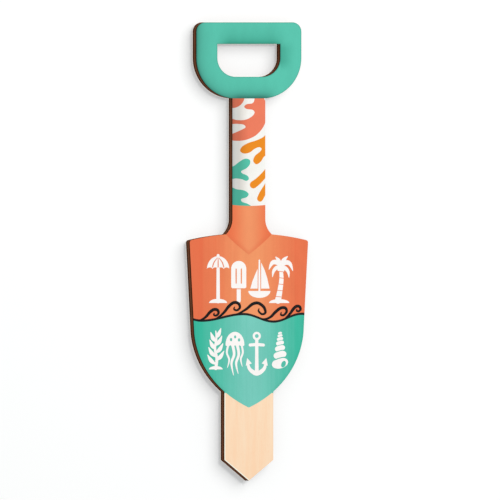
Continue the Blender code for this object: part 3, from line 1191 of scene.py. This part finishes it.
# %% [markdown]
# ## Ovals, corners and places
#
# The rest of the drawings are ovals, parts of ovals and straight-sided shapes. set_down() takes a
# drawing in millimetres and puts its foot at a place on the board.

# %% Ovals, corners and places
OVAL_STEP = 12
FEWEST_STEPS = 8


def oval(x, z, radius_x, radius_z=None, first=0, last=360, lean=0):
    """Part of an oval, all of it unless angles are given, leaning to the left by some degrees."""
    steps = max(FEWEST_STEPS, round(abs(last - first) / OVAL_STEP))
    count = steps if abs(last - first) == 360 else steps + 1
    lean = math.radians(lean)
    found = []
    for step in range(count):
        angle = math.radians(first + (last - first) * step / steps)
        side = radius_x * math.cos(angle)
        rise = (radius_z or radius_x) * math.sin(angle)
        turned_x = side * math.cos(lean) - rise * math.sin(lean)
        turned_z = side * math.sin(lean) + rise * math.cos(lean)
        found.append(Vector((x + turned_x, z + turned_z)))
    return found


def corners(*points):
    """A loop with straight sides."""
    return [Vector(point) for point in points]


def set_down(loop, x, z):
    """A drawing in millimetres, set down on the board."""
    return [Vector((x, z)) + Vector(point) * MM for point in loop]


# %% [markdown]
# ## Leaves on the shaft
#
# The shaft is covered with rounded seaweed leaves that grow in from its sides and are cut off by
# its edges: coral at the top, orange on the right, teal on the left. Their points are millimetres
# across from the middle and down from the handle. They run out past the sides, and the board's
# outline clips them, just as the laser cuts through a print that bleeds over the edge.

# %% Leaves on the shaft
CORAL_LEAVES = [
    oval(-11.2, -2.0, 8.4),
    flowing(
        [
            (4.0, -2.5), (8.4, -2.0), (10.8, 0.6), (11.8, 4.6), (12.0, 10.0), (11.6, 15.0),
            (9.4, 19.8), (5.0, 24.4), (-0.8, 27.2), (-7.0, 28.2), (-13.5, 27.4), (-13.8, 24.6),
            (-9.6, 22.8), (-5.0, 20.8), (-2.3, 19.2), (-3.8, 17.4), (-8.6, 16.9), (-13.8, 16.8),
            (-13.8, 13.2), (-8.0, 14.4), (-2.2, 14.1), (2.0, 12.0), (3.9, 9.6), (2.6, 7.6),
            (-1.6, 7.0), (-3.2, 5.4), (-1.4, 3.8), (2.4, 3.2), (3.8, 1.0),
        ],
        closed=True,
    ),
]
ORANGE_LEAVES = [
    flowing(
        [
            (14.0, 23.0), (14.2, 31.4), (14.0, 36.8), (10.6, 38.6), (8.2, 42.0), (5.2, 43.8),
            (3.0, 41.6), (4.2, 38.2), (7.4, 35.6), (8.8, 33.6), (7.2, 32.4), (4.2, 33.4),
            (0.4, 36.0), (-3.6, 36.6), (-6.0, 34.8), (-4.6, 32.0), (-0.4, 29.6), (4.8, 28.0),
            (9.4, 26.0),
        ],
        closed=True,
    ),
    stroke([(14.6, 45.3, 3.4), (11.2, 50.0, 3.9), (6.8, 54.6, 4.5), (3.1, 57.4, 4.9)]),
    stroke([(14.6, 54.4, 3.4), (11.4, 60.0, 4.1), (9.0, 64.0, 4.3), (7.7, 66.6, 4.1)]),
]
TEAL_LEAVES = [
    flowing(
        [
            (-13.5, 46.7), (-10.0, 44.7), (-6.2, 41.9), (-2.6, 40.1), (0.6, 40.9), (0.6, 43.9),
            (-1.8, 46.5), (-5.2, 48.3), (-4.6, 49.8), (-1.2, 51.3), (0.0, 53.4), (-1.8, 54.8),
            (-5.0, 53.7), (-9.0, 53.2), (-13.5, 53.3),
        ],
        closed=True,
    ),
    flowing(
        [
            (-13.5, 60.1), (-8.0, 60.5), (-3.0, 61.3), (-0.2, 63.5), (-1.6, 65.7), (-5.2, 66.9),
            (-4.6, 68.8), (-0.6, 70.2), (2.6, 73.0), (-5.0, 74.5), (-13.5, 74.5),
        ],
        closed=True,
    ),
]


def leaves(name, drawings, material):
    """A film of leaves, clipped by the shaft's ground."""
    drawn = [("leaf", set_down([(p[0], -p[1]) for p in d], 0, handle_low.z)) for d in drawings]
    named = drawn + [("board", board_edge), ("border", shaft_band)]
    wanted = flat_shape(named, lambda inside: {"leaf", "board", "border"} <= inside)
    return film(name, wanted, leaf_front, ground_front, material)


leaf_films = [
    leaves("coral_leaves", CORAL_LEAVES, coral_leaf_ink),
    leaves("orange_leaves", ORANGE_LEAVES, orange_leaf_ink),
    leaves("teal_leaves", TEAL_LEAVES, teal_leaf_ink),
]

# %% [markdown]
# ## Printing a picture
#
# The white pictures on the blade are cut-outs with fine gaps where their parts meet. A picture is
# two lists of loops, what is printed and what is left out of it, and one function turns them into
# a film. The parasol and the jellyfish both have a hem of small arches, so that is a helper.

# %% Printing a picture
def picture(name, printed, left_out, x, z):
    """A film of white ink in the shape of a picture, with its foot at a place on the board."""
    named = [("printed", set_down(loop, x, z)) for loop in printed]
    named += [("left out", set_down(loop, x, z)) for loop in left_out]
    wanted = flat_shape(named, lambda inside: "printed" in inside and "left out" not in inside)
    return film(name, wanted, field_front, ground_front, white_ink)


def scallops(width, count, z, rise):
    """A run of small arches from right to left."""
    span = width / count
    run = []
    for index in range(count):
        centre = width / 2 - span * (index + 0.5)
        run += oval(centre, z, span / 2, rise, 0, 180)[:-1]
    return run + corners((-width / 2, z))


# %% [markdown]
# ## Pictures above the water
#
# Pictures of the beach stand in a row above the water line: a parasol, an iced lolly, a sailing
# boat and a palm. Each is drawn on its own sheet, in millimetres, with its foot at zero.

# %% Pictures above the water
def parasol():
    canopy = oval(0, 22.4, 7.7, 8.8, 180, 0) + scallops(15.4, 4, 22.4, 1.3)[1:-1]
    folds = [
        stroke([(x * 0.16, 30.0, 0.4), (x * 0.74, 27.0, 0.7), (x, 23.9, 0.7)])
        for x in (-3.85, 0, 3.85)
    ]
    pole = stroke([(0, 22.6, 2.2), (0, 12, 2.3), (0, 1, 2.5)])
    knob = oval(0, 31.6, 1.0)
    sand = oval(0, 0, 6.2, 2.8, 0, 180)
    return [canopy, pole, knob, sand], folds


def lolly():
    top = oval(0, 22.8, 5.2, 5.2, 0, 180)
    ice = top + corners((-5.2, 10.6), (-4.4, 9.8), (4.4, 9.8), (5.2, 10.6))
    grooves = [stroke([(x, 13.2, 0.8), (x, 19, 0.9), (x, 22.6, 0.8)]) for x in (-1.8, 1.8)]
    stick = stroke([(0, 9.6, 2.8), (0, 5.0, 2.8), (0, 1.6, 2.8)])
    return [ice, stick], grooves + [stroke([(-3.0, 9.4, 0.5), (0, 9.4, 0.5), (3.0, 9.4, 0.5)])]


def sailing_boat():
    hull = oval(0, 4.6, 7.6, 4.6, 180, 360)
    mast = stroke([(0, 4.0, 1.3), (0, 12, 1.3), (0, 25.0, 1.0)])
    main_sail = corners((1.2, 6.2), (7.0, 6.2), (5.4, 13.2), (3.6, 18.6), (1.2, 23.6))
    jib = corners((-1.2, 19.4), (-3.0, 15.4), (-4.8, 11.0), (-6.2, 6.2), (-1.2, 6.2))
    return [hull, mast, main_sail, jib], []


def palm():
    trunk = stroke([(-2.4, 1.6, 4.2), (-1.1, 8.0, 3.5), (0.0, 16.0, 2.9), (-0.4, 23.4, 2.3)])
    rings = [stroke([(-4.0 + s * 0.18, 4.4 + s * 4.2, 0.45), (2.0, 3.8 + s * 4.2, 0.45)]) for s in range(5)]
    crown = (-0.4, 23.8, 1.0)
    fronds = [
        [crown, (-3.4, 27.0, 3.0), (-6.4, 26.6, 2.6), (-8.6, 22.4, 0.5)],
        [crown, (-3.2, 23.6, 2.4), (-5.4, 21.2, 2.0), (-6.2, 17.4, 0.4)],
        [crown, (-1.8, 28.0, 2.6), (-4.0, 30.6, 0.5)],
        [crown, (1.4, 28.2, 2.8), (4.2, 31.0, 0.5)],
        [crown, (2.8, 26.8, 3.0), (5.8, 26.0, 2.6), (7.8, 21.6, 0.5)],
        [crown, (2.4, 23.4, 2.4), (4.6, 20.8, 2.0), (5.2, 17.0, 0.4)],
    ]
    nuts = [oval(-1.6, 22.2, 1.2), oval(0.9, 22.0, 1.2)]
    sand = oval(-1.6, 0, 7.0, 2.6, 0, 180)
    return [trunk, sand] + nuts + [stroke(frond) for frond in fronds], rings


ROW_GAP = 6.4 * MM
BOAT_LIFT = 3.4 * MM

upper_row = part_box("waterline_print")[1].z + ROW_GAP
pictures = [
    picture("parasol_print", *parasol(), -21.2 * MM, upper_row),
    picture("lolly_print", *lolly(), -7.0 * MM, upper_row),
    picture("sailing_boat_print", *sailing_boat(), 7.2 * MM, upper_row + BOAT_LIFT),
    picture("palm_print", *palm(), 22.4 * MM, upper_row),
]

# %% [markdown]
# ## Pictures under the water
#
# Below the line come a seaweed, a jellyfish, an anchor and a sea snail's shell. The shell follows
# a rule: each whorl is a leaning oval, a fixed share smaller than the one below it.

# %% Pictures under the water
WHORLS = 7
WHORL_SHRINK = 0.79
WHORL_LEAN = 14


def seaweed():
    """A wavy stem with pairs of leaves that grow shorter towards its tip."""
    stem = stroke([(0, 0.6, 2.2), (0.7, 7, 1.9), (-0.6, 14, 1.7), (0.4, 20, 1.4), (0, 25.4, 0.8)])
    printed = [stem, oval(0, 0, 4.8, 2.2, 0, 180)]
    for pair in range(4):
        z = 3.4 + 5.0 * pair
        reach = 5.6 - 0.7 * pair
        for side in (-1, 1):
            foot = z + 1.3 * (side + 1)
            leaf = [(0, foot, 0.9), (side * reach * 0.55, foot + 2.3, 2.7), (side * reach, foot + 6.2, 0.5)]
            printed.append(stroke(leaf))
    return printed, []


def jellyfish():
    bell_top = oval(0, 20.8, 6.5, 8.6, 180, 0)
    hood = bell_top + scallops(13.0, 4, 20.8, -1.0)[1:-1]
    arms = [
        [(-4.6, 20.6, 1.4), (-5.6, 15.6, 1.3), (-4.0, 10.8, 1.2), (-5.2, 5.6, 0.4)],
        [(-1.6, 20.6, 2.0), (-0.6, 14.4, 1.8), (-2.4, 8.4, 1.5), (-1.0, 0.6, 0.4)],
        [(1.6, 20.6, 2.0), (2.6, 14.4, 1.8), (0.8, 8.4, 1.5), (2.2, 1.6, 0.4)],
        [(4.6, 20.6, 1.4), (5.4, 15.6, 1.3), (4.0, 11.2, 1.2), (5.0, 6.4, 0.4)],
    ]
    spots = [oval(-2.7, 24.2, 0.8, 1.1), oval(0.1, 26.0, 0.8, 1.0), oval(2.8, 24.0, 0.8, 1.1)]
    return [hood] + [stroke(arm) for arm in arms], spots


def anchor():
    ring = oval(0, 26.6, 2.8)
    eye = oval(0, 26.6, 1.3)
    shank = stroke([(0, 24.2, 2.2), (0, 13, 2.3), (0, 2.4, 2.6)])
    stock = stroke([(-4.6, 20.6, 2.0), (0, 20.9, 2.1), (4.6, 20.6, 2.0)])
    arms = stroke([(-6.2, 8.4, 1.6), (-4.7, 4.4, 2.4), (0, 1.7, 3.0), (4.7, 4.4, 2.4), (6.2, 8.4, 1.6)])
    flukes = [corners((s * 7.6, 6.8), (s * 6.6, 12.0), (s * 3.4, 8.4)) for s in (-1, 1)]
    return [ring, shank, stock, arms] + flukes, [eye]


def sea_snail():
    """Whorls stacked from a wide one up to the tip, with a gap along each seam and a mouth."""
    radius, height = 5.7, 6.2
    z = height / 2
    printed, gaps = [], []
    for _ in range(WHORLS):
        printed.append(oval(0, z, radius, height * 0.56, lean=WHORL_LEAN))
        rise = math.tan(math.radians(WHORL_LEAN)) * radius
        seam = z + height * 0.46
        line = height * 0.11
        path = [(-radius, seam - rise, line), (0, seam + height * 0.1, line), (radius, seam + rise, line)]
        gaps.append(stroke(path))
        z += height / 2 + height * WHORL_SHRINK / 2
        radius *= WHORL_SHRINK
        height *= WHORL_SHRINK
    mouth = oval(2.4, 2.5, 1.5, 2.3, lean=-24)
    return printed, gaps[:-1] + [mouth]


ABOVE_TIP = 21.0 * MM
SEAWEED_LIFT = 4.4 * MM
SNAIL_LIFT = 5.4 * MM

lower_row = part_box("sea_print")[0].z + ABOVE_TIP
pictures += [
    picture("seaweed_print", *seaweed(), -22.8 * MM, lower_row + SEAWEED_LIFT),
    picture("jellyfish_print", *jellyfish(), -9.6 * MM, lower_row),
    picture("anchor_print", *anchor(), 5.4 * MM, lower_row),
    picture("sea_snail_print", *sea_snail(), 21.4 * MM, lower_row + SNAIL_LIFT),
]

# %% [markdown]
# ## Breaking waves, swept with a brush
#
# Black brush strokes curl up from the water line like breaking waves. They are ribbons that follow
# a path, so a node tree sweeps them: a flat profile runs along each path and is scaled by the
# width that the path's points carry, which thins the stroke towards its ends. The ribbon lies
# half in the ink below it, so only its upper half stands out.

# %% Breaking waves
BRUSH_FLATNESS = 0.06
WAVE_PATH = [
    (-4.4, -0.2, 0.5), (0.2, 0.6, 1.2), (4.4, 3.0, 1.7), (7.8, 6.4, 2.0), (11.2, 8.2, 2.0),
    (14.4, 7.2, 1.9), (15.4, 4.4, 1.6), (13.4, 2.8, 1.4), (11.4, 3.8, 1.2), (11.8, 5.4, 0.6),
]
WAVES = [(-33.2, 0.80), (-21.6, 1.00), (-6.8, 1.18), (10.6, 1.00), (25.4, 0.66)]  # foot across, size


def brush_tree():
    """Sweeps a flat profile along paths, as wide as their points say."""
    sizes = {"Flatness": ("Float", BRUSH_FLATNESS), "Finish": ("Material", None)}
    tree, given = new_sweep("brush_stroke", sizes)
    level = put(tree, "GeometryNodeMeshToCurve", {0: turned(tree, given["Outline"], -90)}).outputs[0]
    flat = {"Width": 1.0, "Height": given["Flatness"]}
    profile = put(tree, "GeometryNodeCurvePrimitiveQuadrilateral", flat)
    width = put(tree, "GeometryNodeInputNamedAttribute", {"Name": "width"}, data_type="FLOAT").outputs[0]
    sweep = {"Curve": level, "Profile Curve": profile.outputs[0], "Scale": width, "Fill Caps": True}
    ribbon = put(tree, "GeometryNodeCurveToMesh", sweep).outputs[0]
    finished(tree, turned(tree, ribbon, 90), given["Finish"])
    return tree


def height_of_wave(x):
    """The water line's height at a place across the board."""
    for start, end in zip(wave, wave[1:]):
        if start.x <= x <= end.x:
            return start.y + (end.y - start.y) * (x - start.x) / (end.x - start.x)
    return wave[-1].y


brush_runs = []
for foot, size in WAVES:
    path = flowing([(foot + x * size, z * size, width) for x, z, width in WAVE_PATH])
    brush_runs.append([Vector((p.x * MM, height_of_wave(p.x * MM) + p.y * MM, p.z * MM)) for p in path])
brush_edges = edge_mesh("brush_paths", brush_runs, closed=False)
widths = brush_edges.attributes.new("width", "FLOAT", "POINT")
for item, point in zip(widths.data, [point for run in brush_runs for point in run]):
    item.value = point.z
brush = {"Flatness": BRUSH_FLATNESS, "Finish": black_ink}
breakers = grown("breaking_waves", brush_edges, brush_tree(), brush)
breakers.data.transform(Matrix.Translation((0, field_front, 0)))

# %% [markdown]
# ## Light
#
# Such a sign is pictured in a white room. The world is that room: the camera sees it at full
# white, but it lights the board by only two fifths of that, so that the lamps do the rest. A large
# soft lamp at the upper right gives the wide, weak shadow at the lower left. A small lamp nearly in
# front of the board gives the narrow dark shadow right beside it. A third lamp lights the back, for
# cameras behind the board.

# %% Light
ROOM_LIGHT = 0.40
SIDE_LAMP = {"place": Vector((0.92, -1.76, 0.92)), "size": 1.8, "power": 24}
FRONT_LAMP = {"place": Vector((0.27, -1.90, 0.39)), "size": 0.3, "power": 9.8}
BACK_LAMP = {"place": Vector((0.10, 2.10, 0.60)), "size": 1.3, "power": 30}

world = bpy.data.worlds.new("white_room")
world.use_nodes = True
tree = world.node_tree
tree.nodes.clear()
seen = put(tree, "ShaderNodeLightPath").outputs["Is Camera Ray"]
strength = maths(tree, "ADD", maths(tree, "MULTIPLY", seen, 1 - ROOM_LIGHT), ROOM_LIGHT)
room = put(tree, "ShaderNodeBackground", {"Color": (1, 1, 1, 1), "Strength": strength})
put(tree, "ShaderNodeOutputWorld", {"Surface": room.outputs[0]})
bpy.context.scene.world = world


def softbox(name, place, size, power):
    """A round lamp at a place measured from the board's centre, turned towards it."""
    lamp = bpy.data.objects.new(name, bpy.data.lights.new(name, "AREA"))
    lamp.data.shape = "DISK"
    lamp.data.size = size
    lamp.data.energy = power
    lamp.location = board_centre + place
    lamp.rotation_euler = (-place).to_track_quat("-Z", "Y").to_euler()
    bpy.context.scene.collection.objects.link(lamp)
    print(name, round(place.length, 2), "m away")


softbox("side_softbox", **SIDE_LAMP)
softbox("front_lamp", **FRONT_LAMP)
softbox("back_softbox", **BACK_LAMP)

# %% [markdown]
# ## The backdrop card
#
# A card that the board lies against catches its shadow. The card glows a little, which keeps the
# shadow pale. Only its front is seen, so that it doesn't hide the board's back from a camera behind
# it, and it throws no light or shade back on the board. It belongs to the picture and not to the
# board, so it is not attached to the board's body.

# %% The backdrop card
CARD_SIZE = 0.7
CARD_GAP = 0.3 * MM
CARD_WHITE = (0.72, 0.71, 0.70)
CARD_GLOW = (0.315, 0.335, 0.342)


def card_material():
    """White card that glows a little and can't be seen from behind."""
    material = bpy.data.materials.new("white_card")
    material.use_nodes = True
    tree = material.node_tree
    tree.nodes.clear()
    matt = put(tree, "ShaderNodeBsdfDiffuse", {"Color": (*CARD_WHITE, 1)}).outputs[0]
    glow = put(tree, "ShaderNodeEmission", {"Color": (*CARD_GLOW, 1), "Strength": 1.0}).outputs[0]
    lit = put(tree, "ShaderNodeAddShader", {0: matt, 1: glow}).outputs[0]
    clear = put(tree, "ShaderNodeBsdfTransparent").outputs[0]
    behind = put(tree, "ShaderNodeNewGeometry").outputs["Backfacing"]
    shown = put(tree, "ShaderNodeMixShader", {0: behind, 1: lit, 2: clear}).outputs[0]
    put(tree, "ShaderNodeOutputMaterial", {"Surface": shown})
    return material


half = CARD_SIZE / 2
card_mesh = bpy.data.meshes.new("backdrop_card")
card_depth = veneer_back + CARD_GAP
card_corners = [(-half, -half), (half, -half), (half, half), (-half, half)]
card_mesh.from_pydata([(x, card_depth, z + board_centre.z) for x, z in card_corners], [], [(0, 1, 2, 3)])
card_mesh.materials.append(card_material())
card = bpy.data.objects.new("backdrop_card", card_mesh)
card.visible_diffuse = False
card.visible_glossy = False
card.visible_shadow = False
bpy.context.scene.collection.objects.link(card)
print("card", round(CARD_GAP / MM, 1), "mm behind the board")

# %% [markdown]
# ## What each piece stands for
#
# The board is one rigid body, so every piece rides on it. Each wood and ink layer stands for its
# solid in the frame, which is hidden. The leaves, pictures and breaking waves are printed on top and
# stand for none. Each list also gives, for every piece, the finish of the record that is closest to
# its own; the loops only attach the pieces and hide the solids.

# %% What each piece stands for
STANDS_FOR = [
    (core, "core_board", "charred_core"),
    (front_veneer, "front_veneer", "veneer"),
    (back_veneer, "back_veneer", "veneer"),
    (handle, "handle_print", "handle_ink"),
    (shaft, "shaft_print", "shaft_ink"),
    (socket, "socket_print", "socket_ink"),
    (sky, "sky_print", "sky_ink"),
    (water, "waterline_print", "waterline_ink"),
    (sea, "sea_print", "sea_ink"),
]
for piece, node, slot in STANDS_FOR:
    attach(piece, "root")
    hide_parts(node)

PRINTED_ON_TOP = [(breakers, "waterline_ink")]
PRINTED_ON_TOP += zip(leaf_films, ("sky_ink", "socket_ink", "handle_ink"))
PRINTED_ON_TOP += [(piece, "shaft_ink") for piece in pictures]
for piece, slot in PRINTED_ON_TOP:
    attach(piece, "root")
